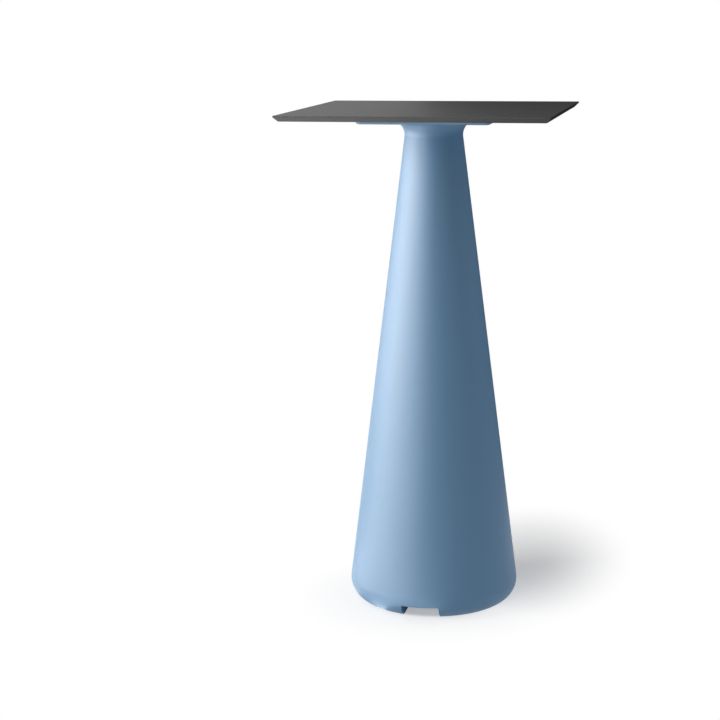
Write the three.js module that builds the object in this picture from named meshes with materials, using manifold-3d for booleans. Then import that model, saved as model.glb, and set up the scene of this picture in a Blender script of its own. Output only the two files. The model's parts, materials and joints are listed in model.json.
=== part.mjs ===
// A bar table: a square laminate top on a tall moulded cone that stands on four levelling glides.
// Millimetres, +Z up, the front towards -Y. The origin is on the floor, under the middle of the table.
import * as THREE from "three";
import { mergeVertices } from "three/addons/utils/BufferGeometryUtils.js";
import Module from "manifold-3d";

// The whole table
const tableHeight = 1100;
const fitGap = 0.3; // left all round a piece that sits in a pocket
const threadGap = 0.3; // between the plain cylinders that stand for a thread and its nut thread
const cutOverrun = 5; // how far a cut runs past the face that it opens

// Tabletop: a slab whose lower edge is cut back at 45 degrees
const topSide = 570;
const topThickness = 12;
const topLand = 2.5; // the upright strip of the edge, above the bevel
const topCornerRadius = 3;
const topArris = 0.4;

// Base shell: cone, flared neck and square head, moulded in one piece
const rimGap = 2; // the rim's height over the floor, which the glides leave
const rimRadius = 193; // the cone carried down to the rim
const neckRadius = 63; // the cone carried up to the flare
const footRound = 47; // of the wide round between the cone and the flat under the foot
const wall = 6;
const flareRadius = 30;
const headSide = 290;
const headThickness = 14;
const headCornerRadius = 14;
const headLowerRound = 8;
const headArris = 1;
const neckBore = 80; // the hole through which the ballast is poured
const collarDepth = 36; // of the thick collar round that hole
const collarSlope = 18; // of the shoulder from the collar to the thin wall

// Channel across the foot, from front to back
const channelWidth = 82;
const channelDepth = 31;
const channelRound = 3;

// Head plate: steel, let into the top of the head
const plateSide = 250;
const plateThickness = 4;
const plateCornerRadius = 10;
const plateArris = 0.5;

// Tabletop screws, their washers and their inserts
const screwSpacing = 200;
const screwDiameter = 6;
const screwLength = 16;
const screwHeadDiameter = 10.5;
const screwHeadHeight = 3.3;
const screwHeadArris = 0.9;
const screwHeadSink = 0.3; // the head ends this far inside the counterbore in the head of the base
const screwHole = 7;
const washerDiameter = 18;
const washerThickness = 1.6;
const topInsertDiameter = 9;
const topInsertLength = 8;

// Countersunk bolts that hold the plate to the neck, and their inserts
const boltCircle = 136;
const boltDiameter = 6;
const boltLength = 16;
const boltHeadDiameter = 12;
const boltHeadHeight = 3.3;
const boltHeadSink = 0.3; // the head lies this far under the plate's face
const headInsertDiameter = 10;
const headInsertLength = 13;

// Hexagon sockets in the heads of the screws and bolts
const keyFlats = 4;
const keyDepth = 2;
const tipShare = 0.25; // of a shank's radius, chamfered off its tip

// Filler cap and its seal, in the neck
const capFlangeWidth = 6;
const capFlangeThickness = 4;
const capPlugLength = 18;
const capSlotLength = 40;
const capSlotWidth = 6;
const capSlotDepth = 2;
const capWeb = 2; // left under the slot
const sealThickness = 2;

// Ballast, poured into the foot
const ballastTop = 92;

// Levelling glides and the pockets that they stand in
const glideMargin = 2; // from a glide's pocket to where the foot curves up
const glideThread = 8;
const glideShank = 20; // the threaded length above the hexagon
const padDiameter = 36;
const padHeight = 8;
const padRound = 2;
const padFloor = 2.7; // under the stud's button
const buttonDiameter = 14; // the disc under the stud that the pad is clipped on
const buttonThickness = 2.4;
const hexFlats = 13;
const hexHeight = 5.4;
const glideInsertDiameter = 13;
const pocketDiameter = 38;
const bossDiameter = 28;
const bossCap = 4; // the plastic over the insert

// Numbers of sides, and of steps along a curve
const hexagonSides = 6;
const shellSides = 72;
const hollowSides = 48;
const neckSides = 32;
const pieceSides = 24;
const washerSides = 16;
const smallSides = 12;
const cornerSteps = 5;
const roundSteps = 4;
const footSteps = 8;
const padSteps = 2;
const flareSteps = 8;

// Heights that several pieces share
const topUnderside = tableHeight - topThickness;
const headUnderside = topUnderside - headThickness;
const flareLow = headUnderside - flareRadius;
const plateUnderside = topUnderside - plateThickness;
const screwSeat = headUnderside + screwHeadSink + screwHeadHeight;
const counterboreTop = screwSeat + washerThickness;
const sealUnderside = plateUnderside - capFlangeThickness - sealThickness;
const pocketTop = padHeight + fitGap + hexHeight + fitGap;
const channelTop = rimGap + channelDepth;
const halfTurn = Math.PI;
const quarterTurn = halfTurn / 2;

const wasm = await Module();
wasm.setup();

// Solids for cutting and joining

function toSolid(geometry) {
  const bare = geometry.clone();
  bare.deleteAttribute("normal");
  bare.deleteAttribute("uv");
  const merged = mergeVertices(bare);
  return new wasm.Manifold(
    new wasm.Mesh({
      numProp: 3,
      vertProperties: Float32Array.from(merged.attributes.position.array),
      triVerts: Uint32Array.from(merged.index.array),
    }),
  );
}

function toGeometry(solid) {
  const mesh = solid.getMesh();
  const geometry = new THREE.BufferGeometry();
  geometry.setAttribute("position", new THREE.BufferAttribute(mesh.vertProperties, 3));
  geometry.setIndex(new THREE.BufferAttribute(mesh.triVerts, 1));
  geometry.computeVertexNormals();
  return geometry;
}

function cut(solid, ...cutters) {
  return cutters.reduce((rest, cutter) => rest.subtract(cutter), solid);
}

function join(...solids) {
  return solids.reduce((whole, solid) => whole.add(solid));
}

// Forms about the Z axis

function arc(centreR, centreZ, radius, from, to, steps) {
  const points = [];
  for (let i = 0; i <= steps; i++) {
    const angle = from + ((to - from) * i) / steps;
    points.push([centreR + radius * Math.cos(angle), centreZ + radius * Math.sin(angle)]);
  }
  return points;
}

// Turns a profile of [radius, height] points, which runs anticlockwise round its area.
function turned(profile, sides) {
  const points = profile.map(([r, z]) => new THREE.Vector2(Math.max(r, 0), z));
  return new THREE.LatheGeometry(points, sides).rotateX(quarterTurn);
}

function disc(diameter, low, high, sides) {
  const r = diameter / 2;
  return turned([[0, low], [r, low], [r, high], [0, high]], sides);
}

function ring(outer, inner, low, high, sides) {
  const [r, bore] = [outer / 2, inner / 2];
  return turned([[bore, low], [r, low], [r, high], [bore, high], [bore, low]], sides);
}

function hexagon(flats, low, high) {
  const radius = flats / Math.sqrt(3);
  return disc(2 * radius, low, high, hexagonSides);
}

// Rounded squares laid one above another and closed into one body

function squareRing(side, radius, z) {
  const reach = side / 2 - radius;
  const points = [];
  for (let corner = 0; corner < 4; corner++) {
    const start = corner * quarterTurn;
    const middle = start + quarterTurn / 2;
    const cx = Math.sign(Math.cos(middle)) * reach;
    const cy = Math.sign(Math.sin(middle)) * reach;
    for (let i = 0; i <= cornerSteps; i++) {
      const angle = start + (quarterTurn * i) / cornerSteps;
      points.push([cx + radius * Math.cos(angle), cy + radius * Math.sin(angle), z]);
    }
  }
  return points;
}

// The rings run from the lowest to the highest.
function stacked(rings) {
  const count = rings[0].length;
  const positions = rings.flat(2);
  const index = [];
  for (let level = 0; level + 1 < rings.length; level++) {
    for (let i = 0; i < count; i++) {
      const [a, b] = [level * count + i, level * count + ((i + 1) % count)];
      index.push(a, b, b + count, a, b + count, a + count);
    }
  }
  const last = (rings.length - 1) * count;
  for (let i = 1; i + 1 < count; i++) {
    index.push(0, i + 1, i);
    index.push(last, last + i, last + i + 1);
  }
  const geometry = new THREE.BufferGeometry();
  geometry.setAttribute("position", new THREE.Float32BufferAttribute(positions, 3));
  geometry.setIndex(index);
  return geometry;
}

function roundedBlock(side, radius, low, high) {
  return stacked([squareRing(side, radius, low), squareRing(side, radius, high)]);
}

// Places

function squareCorners(spacing) {
  const half = spacing / 2;
  return [[-half, -half], [half, -half], [half, half], [-half, half]];
}

function circlePlaces(r) {
  return [[0, -r], [r, 0], [0, r], [-r, 0]];
}

// One solid of the same form at each place.
function atPlaces(places, geometry) {
  const solid = toSolid(geometry);
  return join(...places.map(([x, y]) => solid.translate([x, y, 0])));
}

const screwPlaces = squareCorners(screwSpacing);
const boltPlaces = circlePlaces(boltCircle / 2);

// Profile of the base

const taperShare = (rimRadius - neckRadius) / (flareLow - rimGap);
const taperAngle = Math.atan(taperShare);
const taperStretch = Math.hypot(1, taperShare);

function coneRadius(z) {
  return rimRadius - taperShare * (z - rimGap);
}

// The middle of the foot's round, which is also where the flat under the foot ends
const footZ = rimGap + footRound;
const footR = coneRadius(footZ) - footRound * taperStretch;
const glideCircle = footR - glideMargin - pocketDiameter / 2;
const glidePlaces = squareCorners(Math.SQRT2 * glideCircle);

function outerProfile() {
  const flareR = neckRadius + flareRadius * taperStretch;
  const insideHead = headUnderside + headThickness / 2;
  return [
    [0, rimGap],
    ...arc(footR, footZ, footRound, -quarterTurn, taperAngle, footSteps),
    ...arc(flareR, flareLow, flareRadius, halfTurn + taperAngle, quarterTurn, flareSteps),
    [flareR, insideHead],
    [0, insideHead],
  ];
}

// The hollow, drawn smaller by a gap for what is poured into it.
function hollowProfile(gap) {
  const inset = (wall + gap) * taperStretch;
  const round = footRound - wall - gap;
  const collarLow = plateUnderside - collarDepth;
  const shoulderLow = collarLow - collarSlope;
  return [
    [0, footZ - round],
    ...arc(footR, footZ, round, -quarterTurn, taperAngle, footSteps),
    [coneRadius(shoulderLow) - inset, shoulderLow],
    [neckBore / 2, collarLow],
    [0, collarLow],
  ];
}

// The channel's section, pushed through the foot along Y.
function channelBlock(spread) {
  const half = channelWidth / 2 + spread;
  const top = channelTop + spread;
  const round = channelRound + spread;
  const low = rimGap - cutOverrun;
  const shape = new THREE.Shape();
  shape.moveTo(-half, low);
  shape.lineTo(half, low);
  shape.lineTo(half, top - round);
  shape.absarc(half - round, top - round, round, 0, quarterTurn);
  shape.absarc(-half + round, top - round, round, quarterTurn, halfTurn);
  shape.closePath();
  const length = 2 * (rimRadius + cutOverrun);
  const block = new THREE.ExtrudeGeometry(shape, {
    depth: length,
    bevelEnabled: false,
    curveSegments: roundSteps,
  });
  return block.rotateX(quarterTurn).translate(0, length / 2, 0);
}

// What stands up from the floor of the hollow, grown by a gap for the ballast.
function floorForms(gap) {
  const housing = pocketDiameter + 2 * (wall + gap);
  const housingTop = pocketTop + wall + gap;
  const bossTop = pocketTop + glideShank + bossCap + gap;
  return join(
    toSolid(channelBlock(wall + gap)),
    atPlaces(glidePlaces, disc(housing, rimGap, housingTop, pieceSides)),
    atPlaces(glidePlaces, disc(bossDiameter + 2 * gap, rimGap, bossTop, pieceSides)),
  );
}

// Base shell

function headBlock() {
  const rings = [];
  for (let i = 0; i <= roundSteps; i++) {
    const angle = (quarterTurn * i) / roundSteps;
    const inset = headLowerRound * (1 - Math.sin(angle));
    const z = headUnderside + headLowerRound * (1 - Math.cos(angle));
    rings.push(squareRing(headSide - 2 * inset, headCornerRadius - inset, z));
  }
  rings.push(squareRing(headSide, headCornerRadius, topUnderside - headArris));
  const topRadius = headCornerRadius - headArris;
  rings.push(squareRing(headSide - 2 * headArris, topRadius, topUnderside));
  return stacked(rings);
}

function baseShell() {
  const body = join(toSolid(turned(outerProfile(), shellSides)), toSolid(headBlock()));
  const hollow = toSolid(turned(hollowProfile(0), hollowSides)).subtract(floorForms(0));
  const recessSide = plateSide + 2 * fitGap;
  const recessRadius = plateCornerRadius + fitGap;
  const above = topUnderside + cutOverrun;
  const seatBore = neckBore + 2 * capFlangeWidth + 2 * fitGap;
  const throatLow = plateUnderside - collarDepth - cutOverrun;
  const counterbore = washerDiameter + 2 * fitGap;
  const boltPocket = headInsertDiameter + 2 * fitGap;
  const boltPocketLow = plateUnderside - headInsertLength - 2 * fitGap;
  const glidePocket = glideInsertDiameter + 2 * fitGap;
  const glidePocketTop = pocketTop + glideShank + fitGap;
  const below = rimGap - cutOverrun;
  const shell = cut(
    body,
    hollow,
    toSolid(channelBlock(0)),
    toSolid(roundedBlock(recessSide, recessRadius, plateUnderside, above)),
    toSolid(disc(seatBore, sealUnderside, above, neckSides)),
    toSolid(disc(neckBore, throatLow, above, neckSides)),
    atPlaces(screwPlaces, disc(screwHole, headUnderside - cutOverrun, above, smallSides)),
    atPlaces(screwPlaces, disc(counterbore, headUnderside - cutOverrun, counterboreTop, pieceSides)),
    atPlaces(boltPlaces, disc(boltPocket, boltPocketLow, above, smallSides)),
    atPlaces(glidePlaces, disc(pocketDiameter, below, pocketTop, pieceSides)),
    atPlaces(glidePlaces, disc(glidePocket, below, glidePocketTop, smallSides)),
  );
  return toGeometry(shell);
}

// Tabletop

function tabletop() {
  const bevel = topThickness - topLand;
  const slab = stacked([
    squareRing(topSide - 2 * bevel, topCornerRadius, topUnderside),
    squareRing(topSide, topCornerRadius, tableHeight - topLand),
    squareRing(topSide, topCornerRadius, tableHeight - topArris),
    squareRing(topSide - 2 * topArris, topCornerRadius, tableHeight),
  ]);
  const low = topUnderside - cutOverrun;
  const high = topUnderside + topInsertLength + fitGap;
  const pocket = disc(topInsertDiameter + 2 * fitGap, low, high, smallSides);
  return toGeometry(cut(toSolid(slab), atPlaces(screwPlaces, pocket)));
}

// Head plate

function headPlate() {
  const radius = plateCornerRadius - plateArris;
  const blank = stacked([
    squareRing(plateSide - 2 * plateArris, radius, plateUnderside),
    squareRing(plateSide, plateCornerRadius, plateUnderside + plateArris),
    squareRing(plateSide, plateCornerRadius, topUnderside - plateArris),
    squareRing(plateSide - 2 * plateArris, radius, topUnderside),
  ]);
  const hole = boltDiameter / 2 + fitGap;
  const sinkRadius = boltHeadDiameter / 2 + fitGap;
  const headTop = topUnderside - boltHeadSink;
  const sinkLow = headTop - boltHeadHeight - fitGap;
  const low = plateUnderside - cutOverrun;
  const high = topUnderside + cutOverrun;
  const sinkProfile = [
    [0, low],
    [hole, low],
    [hole, sinkLow],
    [sinkRadius, headTop],
    [sinkRadius, high],
    [0, high],
  ];
  return toGeometry(
    cut(
      toSolid(blank),
      atPlaces(screwPlaces, disc(screwHole, low, high, smallSides)),
      atPlaces(boltPlaces, turned(sinkProfile, smallSides)),
    ),
  );
}

// Fasteners, each drawn round its own axis

function keySocket(headTop, upwards) {
  const [low, high] = upwards
    ? [headTop - keyDepth, headTop + cutOverrun]
    : [headTop - cutOverrun, headTop + keyDepth];
  return toSolid(hexagon(keyFlats, low, high));
}

// The head hangs below zero and the shank rises from it.
function tabletopScrew() {
  const shank = (screwDiameter - threadGap) / 2;
  const tip = shank * tipShare;
  const head = screwHeadDiameter / 2;
  const profile = [
    [0, -screwHeadHeight],
    [head - screwHeadArris, -screwHeadHeight],
    [head, screwHeadArris - screwHeadHeight],
    [head, 0],
    [shank, 0],
    [shank, screwLength - tip],
    [shank - tip, screwLength],
    [0, screwLength],
  ];
  const blank = toSolid(turned(profile, smallSides));
  return toGeometry(cut(blank, keySocket(-screwHeadHeight, false)));
}

// The flat top of the head is at zero and the shank hangs from it.
function plateBolt() {
  const shank = (boltDiameter - threadGap) / 2;
  const tip = shank * tipShare;
  const head = boltHeadDiameter / 2;
  const profile = [
    [0, -boltLength],
    [shank - tip, -boltLength],
    [shank, tip - boltLength],
    [shank, -boltHeadHeight],
    [head, 0],
    [0, 0],
  ];
  const blank = toSolid(turned(profile, smallSides));
  return toGeometry(cut(blank, keySocket(0, true)));
}

function insert(outer, thread, length) {
  return ring(outer, thread + threadGap, 0, length, smallSides);
}

// Filler cap and its seal

function fillerCap() {
  const plug = neckBore / 2 - fitGap;
  const flange = neckBore / 2 + capFlangeWidth;
  const flangeLow = -capFlangeThickness;
  const plugLow = flangeLow - sealThickness - capPlugLength;
  const hollowTop = -capSlotDepth - capWeb;
  const cupRadius = plug - capFlangeThickness;
  const profile = [
    [0, hollowTop],
    [cupRadius, hollowTop],
    [cupRadius, plugLow],
    [plug, plugLow],
    [plug, flangeLow],
    [flange, flangeLow],
    [flange, 0],
    [0, 0],
  ];
  const slot = new THREE.BoxGeometry(capSlotLength, capSlotWidth, 2 * capSlotDepth);
  const cross = slot.clone().rotateZ(quarterTurn);
  return toGeometry(cut(toSolid(turned(profile, neckSides)), toSolid(slot), toSolid(cross)));
}

function fillerSeal() {
  return ring(neckBore + 2 * capFlangeWidth, neckBore, 0, sealThickness, neckSides);
}

// Ballast

function ballast() {
  const column = 2 * (rimRadius + cutOverrun);
  const level = toSolid(disc(column, rimGap, ballastTop, smallSides));
  const filling = toSolid(turned(hollowProfile(fitGap), hollowSides)).intersect(level);
  return toGeometry(filling.subtract(floorForms(fitGap)));
}

// Levelling glides, each drawn from the floor up

function glidePad() {
  const r = padDiameter / 2;
  const throat = glideThread / 2 + fitGap;
  const clip = buttonDiameter / 2 + fitGap;
  const clipTop = padFloor + buttonThickness + 2 * fitGap;
  const profile = [
    [0, 0],
    ...arc(r - padRound, padRound, padRound, -quarterTurn, 0, padSteps),
    ...arc(r - padRound, padHeight - padRound, padRound, 0, quarterTurn, padSteps),
    [throat, padHeight],
    [throat, clipTop],
    [clip, clipTop],
    [clip, padFloor],
    [0, padFloor],
  ];
  return turned(profile, pieceSides);
}

function glideStud() {
  const button = buttonDiameter / 2;
  const buttonLow = padFloor + fitGap;
  const buttonTop = buttonLow + buttonThickness;
  const neck = glideThread / 2;
  const hexLow = padHeight + fitGap;
  const hexTop = hexLow + hexHeight;
  const shank = (glideThread - threadGap) / 2;
  const tip = shank * tipShare;
  const end = hexTop + glideShank;
  const inHex = (hexLow + hexTop) / 2;
  const profile = [
    [0, buttonLow],
    [button, buttonLow],
    [button, buttonTop],
    [neck, buttonTop],
    [neck, inHex],
    [shank, inHex],
    [shank, end - tip],
    [shank - tip, end],
    [0, end],
  ];
  const stud = toSolid(turned(profile, smallSides));
  return toGeometry(join(stud, toSolid(hexagon(hexFlats, hexLow, hexTop))));
}

// Finishes

function finish(color, roughness, metalness) {
  return new THREE.MeshStandardMaterial({ color, roughness, metalness });
}

const laminate = finish(0x4b4c4e, 0.5, 0);
const mouldedBlue = finish(0x8fb0d0, 0.5, 0);
const paintedSteel = finish(0x2f3235, 0.6, 0.2);
const zincSteel = finish(0xb4b8bc, 0.35, 1);
const brass = finish(0xb9984f, 0.35, 1);
const blackPlastic = finish(0x1d1e20, 0.6, 0);
const seal = finish(0x151515, 0.9, 0);
const mortar = finish(0x9a978f, 0.95, 0);

// Assembly

const table = new THREE.Group();

function place(name, geometry, material, x = 0, y = 0, z = 0) {
  const mesh = new THREE.Mesh(geometry, material);
  mesh.name = name;
  mesh.position.set(x, y, z);
  table.add(mesh);
}

// A copy at each place, named by its number from the front left, anticlockwise from above.
function placeEach(name, places, geometry, material, z) {
  places.forEach(([x, y], i) => place(`${name}_${i + 1}`, geometry, material, x, y, z));
}

place("tabletop", tabletop(), laminate);
place("base_shell", baseShell(), mouldedBlue);
place("head_plate", headPlate(), paintedSteel);
place("filler_cap", fillerCap(), blackPlastic, 0, 0, plateUnderside);
place("filler_seal", fillerSeal(), seal, 0, 0, sealUnderside);
place("ballast", ballast(), mortar);

const topInsert = insert(topInsertDiameter, screwDiameter, topInsertLength);
placeEach("tabletop_insert", screwPlaces, topInsert, brass, topUnderside);
placeEach("tabletop_screw", screwPlaces, tabletopScrew(), zincSteel, screwSeat);
const washer = ring(washerDiameter, screwDiameter + 2 * fitGap, 0, washerThickness, washerSides);
placeEach("tabletop_washer", screwPlaces, washer, zincSteel, screwSeat);

const headInsert = insert(headInsertDiameter, boltDiameter, headInsertLength);
const headInsertZ = plateUnderside - headInsertLength - fitGap;
placeEach("head_insert", boltPlaces, headInsert, brass, headInsertZ);
placeEach("plate_bolt", boltPlaces, plateBolt(), zincSteel, topUnderside - boltHeadSink);

const glideInsert = insert(glideInsertDiameter, glideThread, glideShank);
placeEach("glide_insert", glidePlaces, glideInsert, brass, pocketTop);
placeEach("glide_stud", glidePlaces, glideStud(), zincSteel, 0);
placeEach("glide_pad", glidePlaces, glidePad(), blackPlastic, 0);

export default table;
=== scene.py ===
import json
import math

import bpy
from mathutils import Euler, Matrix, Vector


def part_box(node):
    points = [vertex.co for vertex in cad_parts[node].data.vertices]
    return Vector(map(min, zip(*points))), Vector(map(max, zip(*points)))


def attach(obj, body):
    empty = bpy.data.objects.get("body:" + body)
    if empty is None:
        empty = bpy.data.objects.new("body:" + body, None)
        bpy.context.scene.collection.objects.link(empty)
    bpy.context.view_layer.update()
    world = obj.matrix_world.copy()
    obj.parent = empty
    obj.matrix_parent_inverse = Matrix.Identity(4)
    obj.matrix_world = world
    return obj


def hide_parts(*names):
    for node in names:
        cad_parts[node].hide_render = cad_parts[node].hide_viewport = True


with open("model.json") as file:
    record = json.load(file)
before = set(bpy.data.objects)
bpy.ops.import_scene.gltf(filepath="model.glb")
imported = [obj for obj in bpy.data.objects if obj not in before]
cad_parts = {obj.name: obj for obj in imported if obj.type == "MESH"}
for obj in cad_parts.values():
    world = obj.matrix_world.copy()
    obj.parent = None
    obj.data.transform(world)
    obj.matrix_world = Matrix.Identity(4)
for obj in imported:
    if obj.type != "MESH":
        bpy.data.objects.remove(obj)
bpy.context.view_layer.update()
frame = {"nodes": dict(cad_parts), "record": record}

# Lengths are in metres. What the frame gives is read from it; the rest is named here.
shell_low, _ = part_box("base_shell")
top_low, top_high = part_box("tabletop")
plate_low, plate_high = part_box("head_plate")
seal_low, seal_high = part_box("filler_seal")

RIM_Z = shell_low.z
TOP_UNDERSIDE = top_low.z
TABLE_HEIGHT = top_high.z
PLATE_UNDERSIDE = plate_low.z
PIECE_GAP = 0.0003  # left round a piece in its pocket
OVERRUN = 0.005  # how far a cut runs past the face that it opens

# Base
RIM_RADIUS = 0.193  # the cone carried down to the rim
NECK_RADIUS = 0.063  # the cone carried up to the flare
FOOT_ROUND = 0.047  # between the cone and the flat under the foot
WALL = 0.006
FLARE_RADIUS = 0.030
HEAD_SIDE = 0.290
HEAD_THICKNESS = 0.014
HEAD_CORNER = 0.014
HEAD_LOWER_ROUND = 0.008
NECK_BORE = 0.080
COLLAR_DEPTH = 0.036
COLLAR_SLOPE = 0.018
CHANNEL_WIDTH = 0.082
CHANNEL_DEPTH = 0.031
CHANNEL_ROUND = 0.003
MOULDED_EDGE = 0.0009  # the small round on every moulded edge of the base
POCKET_DIAMETER = 0.038
BOSS_DIAMETER = 0.028
BOSS_CAP = 0.004
PLATE_CORNER = 0.010
SCREW_HOLE = 0.007

# Tabletop
TOP_LAND = 0.0025
TOP_CORNER = 0.003
TOP_ARRIS = 0.0004

# Glides
PAD_ROUND = 0.002
PAD_FLOOR = 0.0027
SOLE_GROOVE_INNER = 0.009
SOLE_GROOVE_OUTER = 0.012
SOLE_GROOVE_DEPTH = 0.0008
BUTTON_RADIUS = 0.007
BUTTON_THICKNESS = 0.0024
HEX_FLATS = 0.013
HEX_HEIGHT = 0.0054
HEX_CHAMFER_DIAMETER = 0.0146
HEX_EDGE = 0.0003
STUD_THREAD = 0.008
THREAD_PITCH = 0.00125
THREAD_DEPTH = 0.0006
THREAD_LAND_SHARE = 0.1  # of the pitch, flat on the crest and again in the root

# Screws and washers of the tabletop
SCREW_SHANK_RADIUS = 0.00285
SCREW_TIP_RADIUS = 0.002
SCREW_TIP_LENGTH = 0.001
SCREW_FLAT_SHARE = 0.55  # of the head's radius, under the socket
SCREW_DOME_SHARE = 0.7  # of the head's height
SOCKET_FLATS = 0.004
SOCKET_DEPTH = 0.002
WASHER_BORE_RADIUS = 0.0033
WASHER_EDGE = 0.0002

HEAD_UNDERSIDE = TOP_UNDERSIDE - HEAD_THICKNESS
FLARE_LOW = HEAD_UNDERSIDE - FLARE_RADIUS
TAPER_SHARE = (RIM_RADIUS - NECK_RADIUS) / (FLARE_LOW - RIM_Z)
TAPER_ANGLE = math.atan(TAPER_SHARE)
TAPER_STRETCH = math.hypot(1, TAPER_SHARE)
QUARTER = math.pi / 2
CORNERS = range(1, 5)

# Numbers of sides round a turned form, and of steps along a curve
OUTER_SIDES = 256
INNER_SIDES = 96
PAD_SIDES = 64
SMALL_SIDES = 48
THREAD_SIDES = 24
FLOOR_SIDES = 128
CONE_ROWS = 36
FOOT_STEPS = 24
FLARE_STEPS = 20
HOLLOW_STEPS = 12
HEAD_CORNER_STEPS = 10
CURVE_STEPS = 8
SMALL_STEPS = 6
THREAD_STEPS = 8  # rows for each turn


# Meshes: every maker of a form returns a list of vertices and a list of faces


def arc(centre_r, centre_z, radius, start, end, steps=CURVE_STEPS):
    angles = [start + (end - start) * i / steps for i in range(steps + 1)]
    return [(centre_r + radius * math.cos(a), centre_z + radius * math.sin(a)) for a in angles]


def lathe(profile, sides, closed=False, at=(0, 0)):
    """Turns a profile of (radius, height), which runs anticlockwise round its area."""
    vertices, faces, rows = [], [], []
    turns = [2 * math.pi * i / sides for i in range(sides)]
    for r, z in profile:
        if r > 0:
            rows.append(list(range(len(vertices), len(vertices) + sides)))
            vertices += [(at[0] + r * math.cos(a), at[1] + r * math.sin(a), z) for a in turns]
        else:
            rows.append([len(vertices)] * sides)
            vertices.append((at[0], at[1], z))
    if closed:
        rows.append(rows[0])
    for low, high in zip(rows, rows[1:]):
        for i in range(sides):
            j = (i + 1) % sides
            face = list(dict.fromkeys([low[i], low[j], high[j], high[i]]))
            if len(face) > 2:
                faces.append(face)
    return vertices, faces


def disc(diameter, low, high, sides, at=(0, 0)):
    r = diameter / 2
    return lathe([(0, low), (r, low), (r, high), (0, high)], sides, at=at)


def square_ring(side, radius, z, steps=CURVE_STEPS):
    """The outline of a square with rounded corners."""
    reach = side / 2 - radius
    ring = []
    for corner in range(4):
        middle = (corner + 0.5) * QUARTER
        cx = math.copysign(reach, math.cos(middle))
        cy = math.copysign(reach, math.sin(middle))
        for i in range(steps + 1):
            a = (corner + i / steps) * QUARTER
            ring.append((cx + radius * math.cos(a), cy + radius * math.sin(a), z))
    return ring


def stacked(rings):
    """Closes rings that lie one above another, the lowest first, into one body."""
    count = len(rings[0])
    vertices = [point for ring in rings for point in ring]
    faces = [list(range(count))[::-1], list(range(len(vertices) - count, len(vertices)))]
    for level in range(len(rings) - 1):
        for i in range(count):
            a, b = level * count + i, level * count + (i + 1) % count
            faces.append([a, b, b + count, a + count])
    return vertices, faces


def merged(*forms):
    """Puts forms that don't touch into one."""
    vertices, faces = [], []
    for more, rings in forms:
        faces += [[i + len(vertices) for i in ring] for ring in rings]
        vertices += more
    return vertices, faces


def add(name, form, round_from=35):
    """Adds a mesh object, shaded smooth but for edges sharper than round_from degrees."""
    mesh = bpy.data.meshes.new(name)
    mesh.from_pydata(form[0], [], form[1])
    mesh.validate()
    thing = bpy.data.objects.new(name, mesh)
    bpy.context.scene.collection.objects.link(thing)
    smooth(thing, round_from)
    return thing


def smooth(thing, round_from=35):
    thing.data.shade_smooth()
    thing.data.set_sharp_from_angle(angle=math.radians(round_from))


def settle(thing):
    """Turns the modifiers into plain mesh."""
    graph = bpy.context.evaluated_depsgraph_get()
    mesh = bpy.data.meshes.new_from_object(thing.evaluated_get(graph), depsgraph=graph)
    old = thing.data
    thing.modifiers.clear()
    thing.data = mesh
    mesh.name = thing.name
    bpy.data.meshes.remove(old)


def combine(thing, *forms, operation="DIFFERENCE"):
    """Cuts the forms out of the thing one after another, or joins them to it."""
    for form in forms:
        tool = add("tool", form)
        boolean = thing.modifiers.new("cut", "BOOLEAN")
        boolean.operation = operation
        boolean.solver = "EXACT"
        boolean.object = tool
        settle(thing)
        bpy.data.objects.remove(tool)


def round_edges(thing, width, segments=3, sharper_than=30):
    """Rounds every edge sharper than so many degrees."""
    bevel = thing.modifiers.new("round", "BEVEL")
    bevel.width = width
    bevel.segments = segments
    bevel.limit_method = "ANGLE"
    bevel.angle_limit = math.radians(sharper_than)
    bevel.use_clamp_overlap = False
    settle(thing)


def even_normals(thing):
    """Keeps flat faces flat to the eye where a small round meets them."""
    smooth(thing)
    weighted = thing.modifiers.new("normals", "WEIGHTED_NORMAL")
    weighted.keep_sharp = True
    settle(thing)


def places(node):
    """The middles, seen from above, of the four copies of a node."""
    middles = [sum(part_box(f"{node}_{i}"), Vector()) / 2 for i in CORNERS]
    return [(m.x, m.y) for m in middles]


def at_places(node, diameter, low, high):
    """A round bar at each of the four copies of a node."""
    return merged(*[disc(diameter, low, high, SMALL_SIDES, at=at) for at in places(node)])


# Base


def cone_radius(z):
    return RIM_RADIUS - TAPER_SHARE * (z - RIM_Z)


# The middle of the foot's round
FOOT_Z = RIM_Z + FOOT_ROUND
FOOT_R = cone_radius(FOOT_Z) - FOOT_ROUND * TAPER_STRETCH


def outer_form():
    """The outside of the foot, cone and flare, up to the inside of the head."""
    foot = arc(FOOT_R, FOOT_Z, FOOT_ROUND, -QUARTER, TAPER_ANGLE, FOOT_STEPS)
    flare_r = NECK_RADIUS + FLARE_RADIUS * TAPER_STRETCH
    flare = arc(flare_r, FLARE_LOW, FLARE_RADIUS, math.pi + TAPER_ANGLE, QUARTER, FLARE_STEPS)
    (start_r, start_z), (end_r, end_z) = foot[-1], flare[0]
    rows = [
        (start_r + (end_r - start_r) * i / CONE_ROWS, start_z + (end_z - start_z) * i / CONE_ROWS)
        for i in range(1, CONE_ROWS)
    ]
    inside = HEAD_UNDERSIDE + HEAD_THICKNESS / 2
    return lathe([(0, RIM_Z), *foot, *rows, *flare, (flare_r, inside), (0, inside)], OUTER_SIDES)


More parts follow.
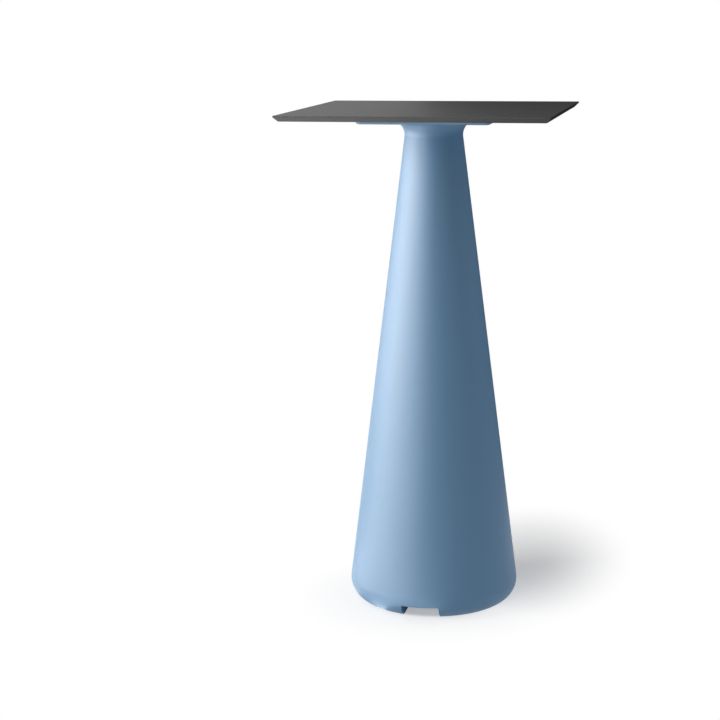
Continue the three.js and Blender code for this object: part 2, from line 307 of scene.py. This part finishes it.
def head_form():
    """The square head with its lower rim rounded."""
    rings = []
    for i in range(CURVE_STEPS + 1):
        angle = QUARTER * i / CURVE_STEPS
        inset = HEAD_LOWER_ROUND * (1 - math.sin(angle))
        z = HEAD_UNDERSIDE + HEAD_LOWER_ROUND * (1 - math.cos(angle))
        rings.append(square_ring(HEAD_SIDE - 2 * inset, HEAD_CORNER - inset, z, HEAD_CORNER_STEPS))
    rings.append(square_ring(HEAD_SIDE, HEAD_CORNER, TOP_UNDERSIDE, HEAD_CORNER_STEPS))
    return stacked(rings)


def channel_form(spread):
    """The section of the channel, pushed through the foot along Y."""
    half = CHANNEL_WIDTH / 2 + spread
    top = RIM_Z + CHANNEL_DEPTH + spread
    radius = CHANNEL_ROUND + spread
    low = RIM_Z - OVERRUN
    section = [(-half, low), (half, low)]
    section += arc(half - radius, top - radius, radius, 0, QUARTER)
    section += arc(radius - half, top - radius, radius, QUARTER, math.pi)
    reach = RIM_RADIUS + OVERRUN
    count = len(section)
    vertices = [(x, y, z) for y in (-reach, reach) for x, z in section]
    faces = [list(range(count)), list(range(count, 2 * count))[::-1]]
    for i in range(count):
        j = (i + 1) % count
        faces.append([j, i, i + count, j + count])
    return vertices, faces


def hollow_form():
    """The inside of the base, up to the collar round the filler hole."""
    inset = WALL * TAPER_STRETCH
    collar_low = PLATE_UNDERSIDE - COLLAR_DEPTH
    shoulder_low = collar_low - COLLAR_SLOPE
    return lathe(
        [
            (0, RIM_Z + WALL),
            *arc(FOOT_R, FOOT_Z, FOOT_ROUND - WALL, -QUARTER, TAPER_ANGLE, HOLLOW_STEPS),
            (cone_radius(shoulder_low) - inset, shoulder_low),
            (NECK_BORE / 2, collar_low),
            (0, collar_low),
        ],
        INNER_SIDES,
    )


def make_base():
    _, stud_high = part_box("glide_stud_1")
    insert_low, insert_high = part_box("glide_insert_1")
    bolt_low, bolt_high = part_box("head_insert_1")
    washer_low, washer_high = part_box("tabletop_washer_1")
    counterbore = washer_high.x - washer_low.x + 2 * PIECE_GAP
    pocket_top = insert_low.z
    above = TOP_UNDERSIDE + OVERRUN
    below = RIM_Z - OVERRUN

    base = add("base_moulding", outer_form())
    combine(base, head_form(), operation="UNION")
    pockets = at_places("glide_pad", POCKET_DIAMETER, below, pocket_top)
    holes = at_places("tabletop_screw", SCREW_HOLE, HEAD_UNDERSIDE - OVERRUN, above)
    sinks = at_places("tabletop_washer", counterbore, HEAD_UNDERSIDE - OVERRUN, washer_high.z)
    combine(base, channel_form(0), pockets, holes, sinks)
    round_edges(base, MOULDED_EDGE)

    hollow = add("hollow", hollow_form())
    housing = POCKET_DIAMETER + 2 * WALL
    combine(
        hollow,
        channel_form(WALL),
        at_places("glide_pad", housing, RIM_Z, pocket_top + WALL),
        at_places("glide_pad", BOSS_DIAMETER, RIM_Z, insert_high.z + BOSS_CAP),
    )
    corners = [tuple(vertex.co) for vertex in hollow.data.vertices]
    inside = (corners, [list(face.vertices) for face in hollow.data.polygons])
    bpy.data.objects.remove(hollow)

    recess = plate_high.x - plate_low.x + 2 * PIECE_GAP
    corner = PLATE_CORNER + PIECE_GAP
    seat = seal_high.x - seal_low.x + 2 * PIECE_GAP
    bolt_pocket = bolt_high.x - bolt_low.x + 2 * PIECE_GAP
    insert_pocket = insert_high.x - insert_low.x + 2 * PIECE_GAP
    throat_low = PLATE_UNDERSIDE - COLLAR_DEPTH - OVERRUN
    combine(
        base,
        inside,
        stacked([square_ring(recess, corner, PLATE_UNDERSIDE), square_ring(recess, corner, above)]),
        disc(seat, seal_low.z, above, INNER_SIDES),
        disc(NECK_BORE, throat_low, above, INNER_SIDES),
        at_places("head_insert", bolt_pocket, bolt_low.z - PIECE_GAP, above),
        at_places("glide_insert", insert_pocket, below, stud_high.z + PIECE_GAP),
    )
    even_normals(base)
    return base


# Tabletop


def make_top():
    side = top_high.x - top_low.x
    bevel = TABLE_HEIGHT - TOP_UNDERSIDE - TOP_LAND
    top = add(
        "laminate_top",
        stacked(
            [
                square_ring(side - 2 * bevel, TOP_CORNER, TOP_UNDERSIDE),
                square_ring(side, TOP_CORNER, TABLE_HEIGHT - TOP_LAND),
                square_ring(side, TOP_CORNER, TABLE_HEIGHT),
            ]
        ),
    )
    round_edges(top, TOP_ARRIS)
    insert_low, insert_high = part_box("tabletop_insert_1")
    pocket = insert_high.x - insert_low.x + 2 * PIECE_GAP
    below = TOP_UNDERSIDE - OVERRUN
    combine(top, at_places("tabletop_insert", pocket, below, insert_high.z + PIECE_GAP))
    even_normals(top)
    return top


# Glides, screws and washers


def threaded(radius, low, high, at):
    """A rod with a right-hand thread, which runs out at its upper end."""
    sides = THREAD_SIDES
    rows = round((high - low) / THREAD_PITCH * THREAD_STEPS)
    vertices, faces = [(at[0], at[1], low)], []
    for row in range(rows + 1):
        z = low + (high - low) * row / rows
        fade = min(1, (high - z) / THREAD_PITCH)
        for i in range(sides):
            a = 2 * math.pi * i / sides
            phase = ((z - low) / THREAD_PITCH - i / sides) % 1
            rise = (abs(2 * phase - 1) - THREAD_LAND_SHARE) / (1 - 2 * THREAD_LAND_SHARE)
            flank = min(1, max(0, rise))
            r = radius - THREAD_DEPTH * (1 - flank * fade)
            vertices.append((at[0] + r * math.cos(a), at[1] + r * math.sin(a), z))
    vertices.append((at[0], at[1], high))
    last = len(vertices) - 1
    for i in range(sides):
        j = (i + 1) % sides
        faces.append([0, 1 + j, 1 + i])
        for row in range(rows):
            a, b = 1 + row * sides + i, 1 + row * sides + j
            faces.append([a, b, b + sides, a + sides])
        faces.append([last - sides + i, last - sides + j, last])
    return vertices, faces


def hexagon(flats, low, high, at):
    return disc(2 * flats / math.sqrt(3), low, high, 6, at=at)


def make_stud(i, at):
    """Button, neck, hexagon and threaded shank, from the floor up."""
    low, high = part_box(f"glide_stud_{i}")
    _, pad_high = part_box(f"glide_pad_{i}")
    neck = STUD_THREAD / 2
    button_top = low.z + BUTTON_THICKNESS
    hex_low = pad_high.z + PIECE_GAP
    hex_top = hex_low + HEX_HEIGHT
    middle = (hex_low + hex_top) / 2
    profile = [
        (0, low.z),
        (BUTTON_RADIUS, low.z),
        (BUTTON_RADIUS, button_top),
        (neck, button_top),
        (neck, middle),
        (0, middle),
    ]
    stud = add(f"levelling_stud_{i}", hexagon(HEX_FLATS, hex_low, hex_top, at))
    chamfer = disc(HEX_CHAMFER_DIAMETER, hex_low - OVERRUN, hex_top + OVERRUN, SMALL_SIDES, at=at)
    combine(stud, chamfer, operation="INTERSECT")
    round_edges(stud, HEX_EDGE, segments=2)
    shank = threaded(STUD_THREAD / 2, middle, high.z, at)
    combine(stud, lathe(profile, SMALL_SIDES, at=at), shank, operation="UNION")
    even_normals(stud)
    return stud


def make_pad(i, at):
    """A plastic pad with a recessed ring in its sole, clipped round the stud's button."""
    low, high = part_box(f"glide_pad_{i}")
    r = (high.x - low.x) / 2
    throat = STUD_THREAD / 2 + PIECE_GAP
    clip = BUTTON_RADIUS + PIECE_GAP
    clip_top = PAD_FLOOR + BUTTON_THICKNESS + 2 * PIECE_GAP
    groove_top = low.z + SOLE_GROOVE_DEPTH
    profile = [
        (0, low.z),
        (SOLE_GROOVE_INNER, low.z),
        (SOLE_GROOVE_INNER, groove_top),
        (SOLE_GROOVE_OUTER, groove_top),
        (SOLE_GROOVE_OUTER, low.z),
        *arc(r - PAD_ROUND, low.z + PAD_ROUND, PAD_ROUND, -QUARTER, 0, SMALL_STEPS),
        *arc(r - PAD_ROUND, high.z - PAD_ROUND, PAD_ROUND, 0, QUARTER, SMALL_STEPS),
        (throat, high.z),
        (throat, clip_top),
        (clip, clip_top),
        (clip, PAD_FLOOR),
        (0, PAD_FLOOR),
    ]
    return add(f"levelling_pad_{i}", lathe(profile, PAD_SIDES, at=at))


def make_screw(i, at):
    """A low round head with a hexagon socket, and the plain shank above it."""
    low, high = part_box(f"tabletop_screw_{i}")
    washer_low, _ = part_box(f"tabletop_washer_{i}")
    head = (high.x - low.x) / 2
    seat = washer_low.z
    dome_height = (seat - low.z) * SCREW_DOME_SHARE
    flat = head * SCREW_FLAT_SHARE
    profile = [(0, low.z)]
    for k in range(SMALL_STEPS + 1):
        angle = QUARTER * k / SMALL_STEPS
        r = flat + (head - flat) * math.sin(angle)
        profile.append((r, low.z + dome_height * (1 - math.cos(angle))))
    profile += [
        (head, seat),
        (SCREW_SHANK_RADIUS, seat),
        (SCREW_SHANK_RADIUS, high.z - SCREW_TIP_LENGTH),
        (SCREW_TIP_RADIUS, high.z),
        (0, high.z),
    ]
    screw = add(f"top_screw_{i}", lathe(profile, SMALL_SIDES, at=at))
    combine(screw, hexagon(SOCKET_FLATS, low.z - OVERRUN, low.z + SOCKET_DEPTH, at))
    even_normals(screw)
    return screw


def make_washer(i, at):
    low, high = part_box(f"tabletop_washer_{i}")
    r = (high.x - low.x) / 2
    section = [(WASHER_BORE_RADIUS, low.z), (r, low.z), (r, high.z), (WASHER_BORE_RADIUS, high.z)]
    washer = add(f"top_washer_{i}", lathe(section, SMALL_SIDES, closed=True, at=at))
    round_edges(washer, WASHER_EDGE, segments=2)
    even_normals(washer)
    return washer


# Materials


class Surface:
    """A material under construction: a Principled shader and what feeds it."""

    def __init__(self, name, **values):
        self.material = bpy.data.materials.new(name)
        self.material.use_nodes = True
        self.tree = self.material.node_tree
        self.shader = self.tree.nodes["Principled BSDF"]
        self.where = self.tree.nodes.new("ShaderNodeTexCoord").outputs["Object"]
        for key, value in values.items():
            self.shader.inputs[key.replace("_", " ")].default_value = value

    def node(self, kind, settings=(), **inputs):
        """Adds a node. An input is named by its name, or by i and its number."""
        made = self.tree.nodes.new("ShaderNode" + kind)
        for key, value in dict(settings).items():
            setattr(made, key, value)
        for key, value in inputs.items():
            numbered = key[0] == "i" and key[1:].isdigit()
            socket = made.inputs[int(key[1:]) if numbered else key]
            if isinstance(value, bpy.types.NodeSocket):
                self.tree.links.new(value, socket)
            else:
                socket.default_value = value
        return made

    def stretched(self, x, y, z):
        return self.node("Mapping", Vector=self.where, Scale=(x, y, z)).outputs["Vector"]

    def noise(self, scale, detail=2, where=None, roughness=0.5):
        """Soft noise with about so many cells to the metre."""
        where = where or self.where
        made = self.node("TexNoise", Vector=where, Scale=scale, Detail=detail, Roughness=roughness)
        return made.outputs["Fac"]

    def ranged(self, value, low, high, start=0.0, end=1.0, smooth=False):
        """Takes the range from start to end to that from low to high."""
        kind = "SMOOTHSTEP" if smooth else "LINEAR"
        made = self.node("MapRange", {"interpolation_type": kind}, Value=value)
        for key, number in {"From Min": start, "From Max": end, "To Min": low, "To Max": high}.items():
            made.inputs[key].default_value = number
        return made.outputs["Result"]

    def mix(self, factor, one, other):
        """Mixes two colours."""
        made = self.node("Mix", {"data_type": "RGBA"}, i0=factor, i6=one, i7=other)
        return made.outputs[2]

    def maths(self, operation, one, other):
        return self.node("Math", {"operation": operation}, i0=one, i1=other).outputs[0]

    def feed(self, name, value):
        self.tree.links.new(value, self.shader.inputs[name])

    def bump(self, height, strength, distance):
        made = self.node("Bump", Height=height, Strength=strength, Distance=distance)
        self.feed("Normal", made.outputs["Normal"])


def tint(colour, share=1):
    """A colour made lighter or darker, with the alpha that a socket takes."""
    return (*[c * share for c in colour], 1)


BLUE = (0.150, 0.310, 0.505)
WORN_BLUE = (0.30, 0.43, 0.58)
ANTHRACITE = (0.040, 0.041, 0.042)
CORE = (0.020, 0.020, 0.021)
COAT_DARK = (0.026, 0.028, 0.031)
COAT_LIGHT = (0.038, 0.040, 0.044)
ZINC = (0.62, 0.63, 0.65)
BRASS = (0.62, 0.45, 0.18)
PLASTIC_DARK = (0.012, 0.012, 0.013)
PLASTIC_LIGHT = (0.020, 0.020, 0.022)
RUBBER_DARK = (0.008, 0.008, 0.008)
RUBBER_LIGHT = (0.014, 0.014, 0.014)
MORTAR_DARK = (0.29, 0.28, 0.25)
MORTAR_LIGHT = (0.36, 0.35, 0.32)
SAND = (0.20, 0.19, 0.17)

WEAR_HEIGHT = 0.03  # the foot is scuffed up to here
FACE_DEPTH = (0.0003, 0.0005)  # the decor gives way to the core between these depths


def moulded_blue():
    s = Surface("moulded_blue", Specular_IOR_Level=0.42)
    cloud = s.noise(6, detail=3)
    grain = s.noise(1600, detail=2)
    scuff = s.noise(240, detail=4, roughness=0.7)
    low = s.ranged(s.node("SeparateXYZ", Vector=s.where).outputs["Z"], 1, 0, RIM_Z, WEAR_HEIGHT)
    worn = s.maths("MULTIPLY", low, s.ranged(scuff, 0, 1, 0.56, 0.72))
    plain = s.mix(cloud, tint(BLUE, 0.975), tint(BLUE, 1.025))
    s.feed("Base Color", s.mix(s.ranged(worn, 0, 0.35), plain, tint(WORN_BLUE)))
    s.feed("Roughness", s.maths("ADD", s.ranged(grain, 0.48, 0.52), s.ranged(worn, 0, 0.12)))
    s.bump(grain, strength=0.10, distance=0.0003)
    return s.material


def laminate():
    s = Surface("laminate", Specular_IOR_Level=0.37)
    z = s.node("SeparateXYZ", Vector=s.where).outputs["Z"]
    fleck = s.noise(900, detail=3)
    streak = s.noise(60, detail=3, where=s.stretched(1, 14, 1))
    decor = s.mix(streak, tint(ANTHRACITE, 0.93), tint(ANTHRACITE, 1.07))
    decor = s.mix(s.ranged(fleck, 0, 0.25), decor, tint(ANTHRACITE, 1.5))
    sheets = s.noise(40, detail=2, where=s.stretched(1, 1, 90))
    core = s.mix(sheets, tint(CORE, 0.85), tint(CORE, 1.15))
    near, deep = FACE_DEPTH
    upper = s.ranged(z, 0, 1, TABLE_HEIGHT - deep, TABLE_HEIGHT - near)
    lower = s.ranged(z, 1, 0, TOP_UNDERSIDE + near, TOP_UNDERSIDE + deep)
    s.feed("Base Color", s.mix(s.maths("MAXIMUM", upper, lower), core, decor))
    s.feed("Roughness", s.ranged(fleck, 0.52, 0.62))
    s.bump(fleck, strength=0.12, distance=0.0002)
    return s.material


def powder_coat():
    s = Surface("plate_paint")
    peel = s.noise(700, detail=2)
    s.feed("Base Color", s.mix(peel, tint(COAT_DARK), tint(COAT_LIGHT)))
    s.feed("Roughness", s.ranged(peel, 0.45, 0.6))
    s.bump(peel, strength=0.3, distance=0.0003)
    return s.material


def turned_metal(name, colour, roughness):
    s = Surface(name, Metallic=1.0)
    lines = s.noise(60, detail=3, where=s.stretched(1, 1, 60))
    spots = s.noise(500, detail=2)
    s.feed("Base Color", s.mix(spots, tint(colour, 0.92), tint(colour, 1.05)))
    s.feed("Roughness", s.ranged(lines, *roughness))
    s.bump(lines, strength=0.08, distance=0.0001)
    return s.material


def black_plastic():
    s = Surface("black_plastic")
    grain = s.noise(1200, detail=3)
    s.feed("Base Color", s.mix(grain, tint(PLASTIC_DARK), tint(PLASTIC_LIGHT)))
    s.feed("Roughness", s.ranged(grain, 0.5, 0.68))
    s.bump(grain, strength=0.25, distance=0.0002)
    return s.material


def seal_rubber():
    s = Surface("seal_rubber")
    grain = s.noise(800, detail=3)
    s.feed("Base Color", s.mix(grain, tint(RUBBER_DARK), tint(RUBBER_LIGHT)))
    s.feed("Roughness", s.ranged(grain, 0.75, 0.9))
    s.bump(grain, strength=0.2, distance=0.0002)
    return s.material


def mortar():
    s = Surface("ballast_stone")
    sand = s.noise(350, detail=5, roughness=0.7)
    cloud = s.noise(18, detail=3)
    pale = s.mix(cloud, tint(MORTAR_DARK), tint(MORTAR_LIGHT))
    s.feed("Base Color", s.mix(s.ranged(sand, 0, 0.5, 0.35, 0.65), pale, tint(SAND)))
    s.feed("Roughness", s.ranged(sand, 0.85, 0.97))
    s.bump(sand, strength=0.5, distance=0.0008)
    return s.material


finishes = {
    "moulded_blue": moulded_blue(),
    "laminate": laminate(),
    "plate_paint": powder_coat(),
    "zinc_steel": turned_metal("zinc_steel", ZINC, roughness=(0.25, 0.40)),
    "brass": turned_metal("brass", BRASS, roughness=(0.22, 0.36)),
    "black_plastic": black_plastic(),
    "seal_rubber": seal_rubber(),
    "ballast_stone": mortar(),
}

for subpart in frame["record"]["subparts"]:
    node = frame["nodes"][subpart["node"]]
    node.data.materials.clear()
    node.data.materials.append(finishes[subpart["material_slot"]])


def dress(piece, slot, body, *nodes):
    """Gives a piece its finish, and puts it in the place of the CAD nodes that it stands for."""
    piece.data.materials.clear()
    piece.data.materials.append(finishes[slot])
    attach(piece, body)
    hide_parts(*nodes)


dress(make_base(), "moulded_blue", "root", "base_shell")
dress(make_top(), "laminate", "root", "tabletop")
for i, at in zip(CORNERS, places("glide_pad")):
    dress(make_pad(i, at), "black_plastic", f"glide_{i}", f"glide_pad_{i}")
    dress(make_stud(i, at), "zinc_steel", f"stud_{i}", f"glide_stud_{i}")
for i, at in zip(CORNERS, places("tabletop_screw")):
    dress(make_screw(i, at), "zinc_steel", "root", f"tabletop_screw_{i}")
    dress(make_washer(i, at), "zinc_steel", "root", f"tabletop_washer_{i}")


# Floor, light and camera

WHITE = (1, 1, 1, 1)
CAMERA_PLACE = (0.6799, -3.8561, 1.3325)
FLOOR_RADIUS = 14
FLOOR_DROP = 0.0002  # under the pads
FLOOR_COLOUR = (0.85, 0.85, 0.85, 1)
FLOOR_MORE = (0.55, 0.55, 0.55, 1)  # more of the same shading, for the camera and for gloss
FLOOR_LIFT = 0.04  # added for the camera, so that the unshadowed floor is white
CHANNEL_PAINTED_LIGHT = 0.38  # painted light: a glow added for the camera alone, which lightens the shaded floor in the mouth of the channel
CHANNEL_REACH = (0.125, 0.150)  # it falls to FLOOR_LIFT between these distances from the middle
# Near the table the floor shows its shading, and further off it is plain white. It turns white
# between two distances from the middle of the shadow, and between two from the middle of the table.
SHADOW_MIDDLE = (0.165, 0.299)
SHADOW_STRETCH = 1.91  # of the shadow's depth against its width
SHADOW_REACH = (0.023, 0.274)
CONTACT_LEVEL = 0.72  # how white it is close to the foot
CONTACT_REACH = (0.124, 0.345)


def seen_rays(surface):
    """1 for rays from the camera, and for what metal, glass and gloss show; otherwise 0."""
    path = surface.node("LightPath").outputs
    either = surface.maths("MAXIMUM", path["Is Camera Ray"], path["Is Glossy Ray"])
    return surface.maths("MAXIMUM", either, path["Is Transmission Ray"])


def beyond(surface, middle, reach, stretch=1):
    """0 up to the first distance from the middle, and 1 from the second, both stretched along Y."""
    where = surface.stretched(1, 1 / stretch, 1)
    middle = (middle[0], middle[1] / stretch, 0)
    distance = surface.node("VectorMath", {"operation": "DISTANCE"}, i0=where, i1=middle)
    return surface.ranged(distance.outputs["Value"], 0, 1, *reach, smooth=True)


def make_floor():
    floor = add("floor", lathe([(FLOOR_RADIUS, -FLOOR_DROP), (0, -FLOOR_DROP)], FLOOR_SIDES))
    s = Surface("floor", Base_Color=FLOOR_COLOUR, Roughness=1.0, Specular_IOR_Level=0.0)
    tree, out = s.tree, s.tree.nodes["Material Output"]
    seen = seen_rays(s)
    outside = beyond(s, (0, 0), CHANNEL_REACH)
    to_camera = s.node("LightPath").outputs["Is Camera Ray"]
    # Painted light: besides the small lift that whitens the open floor, the camera sees a glow on the
    # shaded floor in the mouth of the channel
    lift_and_painted_light_level = s.maths("MULTIPLY", to_camera, s.ranged(outside, CHANNEL_PAINTED_LIGHT, FLOOR_LIFT))
    lift_and_painted_light = s.node("Emission", Color=WHITE, Strength=lift_and_painted_light_level)
    white = s.node("Emission", Color=WHITE, Strength=1.0)
    more = s.node("BsdfDiffuse", Color=FLOOR_MORE)
    fuller = s.node("AddShader", i0=s.shader.outputs[0], i1=more.outputs[0])
    with_lift_and_painted_light = s.node("AddShader", i0=fuller.outputs[0], i1=lift_and_painted_light.outputs[0])
    shadow_end = beyond(s, SHADOW_MIDDLE, SHADOW_REACH, SHADOW_STRETCH)
    contact_end = s.ranged(beyond(s, (0, 0), CONTACT_REACH), CONTACT_LEVEL, 1)
    far = s.maths("MULTIPLY", s.maths("MINIMUM", shadow_end, contact_end), outside)
    shown = s.node("MixShader", i0=far, i1=with_lift_and_painted_light.outputs[0], i2=white.outputs[0])
    full = s.node("MixShader", i0=seen, i1=s.shader.outputs[0], i2=shown.outputs[0])
    clear = s.node("BsdfTransparent")
    under = s.node("NewGeometry").outputs["Backfacing"]
    ends = s.node("MixShader", i0=under, i1=full.outputs[0], i2=clear.outputs[0])
    tree.links.new(ends.outputs[0], out.inputs["Surface"])
    floor.data.materials.append(s.material)


make_floor()

WORLD_LEVEL = 0.325  # of the light that the surroundings give


def light_world():
    world = bpy.data.worlds.new("studio")
    bpy.context.scene.world = world
    world.use_nodes = True
    tree = world.node_tree
    shade = tree.nodes["Background"]
    shade.inputs["Color"].default_value = (WORLD_LEVEL, WORLD_LEVEL, WORLD_LEVEL, 1)
    white = tree.nodes.new("ShaderNodeBackground")
    white.inputs["Color"].default_value = WHITE
    path = tree.nodes.new("ShaderNodeLightPath").outputs
    seen = path["Is Camera Ray"]
    for other in ("Is Glossy Ray", "Is Transmission Ray"):
        either = tree.nodes.new("ShaderNodeMath")
        either.operation = "MAXIMUM"
        tree.links.new(seen, either.inputs[0])
        tree.links.new(path[other], either.inputs[1])
        seen = either.outputs[0]
    mixed = tree.nodes.new("ShaderNodeMixShader")
    tree.links.new(seen, mixed.inputs[0])
    tree.links.new(shade.outputs[0], mixed.inputs[1])
    tree.links.new(white.outputs[0], mixed.inputs[2])
    tree.links.new(mixed.outputs[0], tree.nodes["World Output"].inputs["Surface"])


light_world()


def softbox(name, place, aim, size, watts, unseen_by=""):
    """An area lamp that the camera doesn't see, nor the kind of ray that unseen_by names."""
    data = bpy.data.lights.new(name, "AREA")
    data.shape = "RECTANGLE"
    data.size, data.size_y = size
    data.energy = watts
    box = bpy.data.objects.new(name, data)
    bpy.context.scene.collection.objects.link(box)
    box.location = place
    box.rotation_euler = (Vector(aim) - Vector(place)).to_track_quat("-Z", "Y").to_euler()
    box.visible_camera = False
    if unseen_by:
        setattr(box, "visible_" + unseen_by, False)


def floor_lamp(name, angle, distance, side, watts, unseen_by):
    """A square softbox that lies on the floor and faces up."""
    place = Vector(around(angle, FLOOR_LAMP_HEIGHT, distance))
    softbox(name, place, place + Vector((0, 0, 1)), (side, side), watts, unseen_by)


def make_flag():
    """A black card behind and to the right, which only gloss sees, as in a studio."""
    vertices = [(x, y, z) for z in (0.0, FLAG_HEIGHT) for x, y in FLAG_LINE]
    count = len(FLAG_LINE)
    faces = [[i, i + 1, i + 1 + count, i + count] for i in range(count - 1)]
    flag = add("flag", (vertices, faces))
    s = Surface("flag", Base_Color=(0.01, 0.01, 0.01, 1), Roughness=1.0, Specular_IOR_Level=0.0)
    flag.data.materials.append(s.material)
    for ray in ("camera", "diffuse", "shadow", "transmission"):
        setattr(flag, "visible_" + ray, False)


def around(angle, height, distance):
    """A place at an angle about the table's axis, in degrees from the camera, its left negative."""
    start = math.atan2(CAMERA_PLACE[1], CAMERA_PLACE[0]) + math.radians(angle)
    return distance * math.cos(start), distance * math.sin(start), height


FLAG_HEIGHT = 2.6
FLAG_LINE = [(-0.19, 0.95), (0.75, 1.1), (1.5, 0.75), (1.9, 0.0), (1.9, -1.0)]  # from above
make_flag()

KEY_AIM = (0, 0, 0.65)
SHEEN_AIM = (0, 0, 0.8)
LOW_SHEEN_AIM = (0, 0, 0.15)
FLOOR_LAMP_HEIGHT = 0.0005
FLOOR_LAMP_SIDE = 0.23
FLOOR_LAMP_DISTANCE = 0.315

# Each lamp has its angle, height and distance, then its aim, width and height, and watts
softbox("key", around(-66, 1.30, 2.6), KEY_AIM, (1.1, 1.2), 26)
softbox("fill", around(100, 1.1, 2.6), KEY_AIM, (1.2, 1.2), 8, "glossy")
# The sheen down the left of the cone and over the top
for angle, watts in ((-35, 28), (-65, 58), (-95, 74), (-123, 21)):
    softbox("sheen", around(angle, 1.05, 1.9), SHEEN_AIM, (0.95, 1.8), watts, "diffuse")
# The sheen on the foot
for angle, watts in ((-50, 0.7), (-110, 0.2)):
    softbox("low sheen", around(angle, 0.15, 0.6), LOW_SHEEN_AIM, (0.5, 0.3), watts, "diffuse")
floor_lamp("wide floor sheen", -85, 0.75, 0.7, 9, "diffuse")
# The white floor beside the foot, which throws light back under its round
for angle, sheen_watts, bounce_watts in ((-20, 0.4, 0.008), (-50, 0.6, 0.005), (-80, 0.3, 0.003)):
    where = (angle, FLOOR_LAMP_DISTANCE, FLOOR_LAMP_SIDE)
    floor_lamp("floor sheen", *where, sheen_watts, "diffuse")
    floor_lamp("floor bounce", *where, bounce_watts, "glossy")

SENSOR = 36
FRAME_PIXELS = 720
FOCUS_PIXELS = 1800.6
CAMERA_TURN = 12.395
CAMERA_TILT = 78.661  # from straight down
CAMERA_ROLL = -0.470
camera_data = bpy.data.cameras.new("camera")
camera_data.sensor_width = SENSOR
camera_data.lens = FOCUS_PIXELS * SENSOR / FRAME_PIXELS
camera = bpy.data.objects.new("camera", camera_data)
bpy.context.scene.collection.objects.link(camera)
camera.location = CAMERA_PLACE
turn = Euler((0, 0, math.radians(CAMERA_TURN))).to_matrix()
tilt = Euler((math.radians(CAMERA_TILT), 0, 0)).to_matrix()
roll = Euler((0, 0, math.radians(CAMERA_ROLL))).to_matrix()
camera.rotation_euler = (turn @ tilt @ roll).to_euler()
bpy.context.scene.camera = camera
bpy.context.scene.view_settings.view_transform = "Standard"
